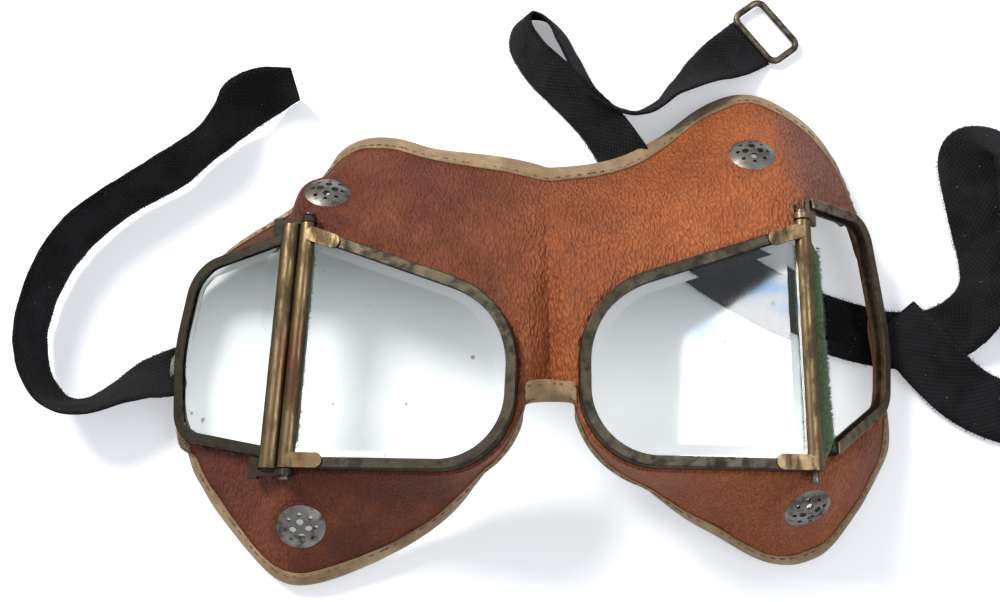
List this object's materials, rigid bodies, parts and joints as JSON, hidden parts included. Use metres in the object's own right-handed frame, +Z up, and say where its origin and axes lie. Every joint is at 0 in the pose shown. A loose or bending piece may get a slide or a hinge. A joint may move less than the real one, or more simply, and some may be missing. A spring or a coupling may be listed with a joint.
{
  "type": "aviator flying goggles",
  "caption": "Folding leather goggles with angled glass panels, pierced dome vents, cloth binding and tape straps, lying lens side up with one side glass missing.",
  "frame": {"origin": "middle of the mask's foot on the table, straps left out", "axes": "+X towards the missing side glass, along the width; +Y towards the brow; +Z up, out of the lenses"},
  "size_m": [0.2756, 0.1598, 0.0385],
  "materials": {
    "leather": "grained, worn",
    "velvet_lining": "velvet pile",
    "cotton_binding": "woven tape, stained",
    "lens_glass": "clear, bevelled",
    "steel_washer": "plain",
    "nickel_vent": "worn nickel plate",
    "steel_pin": "plain",
    "green_felt": "fuzzy felt",
    "dark_bronze": "dark patina",
    "aged_brass_rim": "aged",
    "aged_brass_post": "aged, brushed",
    "black_tape": "woven elastic tape",
    "brass_loop": "worn"
  },
  "bodies": {
    "right_front": {"right_front_rim": "aged_brass_rim", "right_front_post": "aged_brass_post", "right_front_glass": "lens_glass", "right_hinge_pin": "steel_pin", "right_seal_strip": "green_felt", "right_front_leather": "leather", "right_front_lining": "velvet_lining", "right_front_binding": "cotton_binding", "right_top_vent": "nickel_vent", "right_top_vent_washer": "steel_washer", "right_bottom_vent": "nickel_vent", "right_bottom_vent_washer": "steel_washer", "right_strap": "black_tape"},
    "right_side": {"right_side_rim": "dark_bronze", "right_side_leather": "leather", "right_side_lining": "velvet_lining", "right_side_binding": "cotton_binding"},
    "left_front": {"left_front_rim": "aged_brass_rim", "left_front_post": "aged_brass_post", "left_front_glass": "lens_glass", "left_hinge_pin": "steel_pin", "left_seal_strip": "green_felt", "left_front_leather": "leather", "left_front_lining": "velvet_lining", "left_front_binding": "cotton_binding", "left_top_vent": "nickel_vent", "left_top_vent_washer": "steel_washer", "left_bottom_vent": "nickel_vent", "left_bottom_vent_washer": "steel_washer", "left_strap": "black_tape"},
    "left_side": {"left_side_rim": "aged_brass_rim", "left_side_leather": "leather", "left_side_lining": "velvet_lining", "left_side_binding": "cotton_binding", "left_side_post": "aged_brass_post", "left_side_glass": "lens_glass"},
    "buckle": {"buckle_loop": "brass_loop"}
  },
  "joints": [
    {"name": "bridge_fold", "type": "hinge", "parent": "right_front", "child": "left_front", "pos_m": [0.0032, 0.00829, 0.03219], "axis": [0, 1, 0], "range_deg": [0, 75]},
    {"name": "right_side_fold", "type": "hinge", "parent": "right_front", "child": "right_side", "pos_m": [0.0642, -0.01091, 0.03069], "axis": [-0.0052, -1, 0], "range_deg": [0, 25]},
    {"name": "left_side_fold", "type": "hinge", "parent": "left_front", "child": "left_side", "pos_m": [-0.0578, -0.00901, 0.02319], "axis": [0.0558, 0.9984, 0], "range_deg": [0, 25]},
    {"name": "buckle_swing", "type": "hinge", "parent": "right_front", "child": "buckle", "pos_m": [0.06038, 0.0818, 0.00185], "axis": [0.6, -0.8, 0], "range_deg": [0, 75]}
  ]
}
